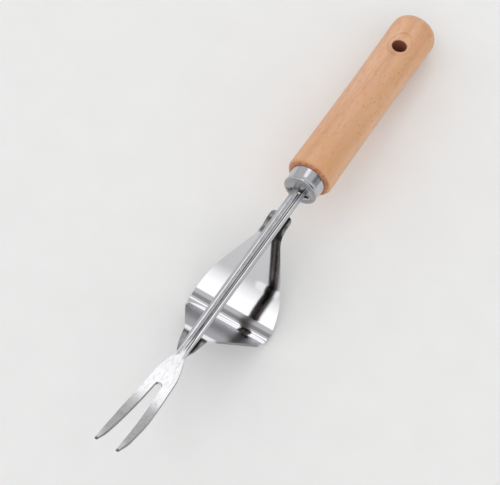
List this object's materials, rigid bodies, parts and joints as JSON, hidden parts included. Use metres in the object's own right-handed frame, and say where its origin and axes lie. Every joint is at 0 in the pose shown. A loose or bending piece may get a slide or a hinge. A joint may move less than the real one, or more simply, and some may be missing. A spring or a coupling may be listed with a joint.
{
  "type": "hand weeder",
  "caption": "Hand weeder with a turned wooden handle, a steel ferrule, a forked channel shaft and a bowed leaf-shaped fulcrum plate.",
  "frame": {"origin": "middle of the hanging hole, on the handle's axis", "axes": "+Y along the tool from the fork towards the butt of the handle, +Z out of the front, through the hanging hole, +X to the right seen from the front with the fork down"},
  "size_m": [0.0472, 0.3208, 0.06],
  "materials": {
    "beech": "clear satin varnish on turned beech",
    "ferrule_steel": "polished",
    "disc_steel": "satin",
    "stainless": "polished, lightly brushed at the tines",
    "plate_steel": "mirror polished",
    "weld_steel": "as welded",
    "epoxy": "cured adhesive"
  },
  "bodies": {
    "root": {"handle": "beech", "ferrule": "ferrule_steel", "ferrule_disc": "disc_steel", "fork_shaft": "stainless", "fulcrum_plate": "plate_steel", "tang_adhesive": "epoxy", "upper_weld": "weld_steel", "lower_weld": "weld_steel", "disc_weld": "weld_steel"}
  },
  "joints": []
}
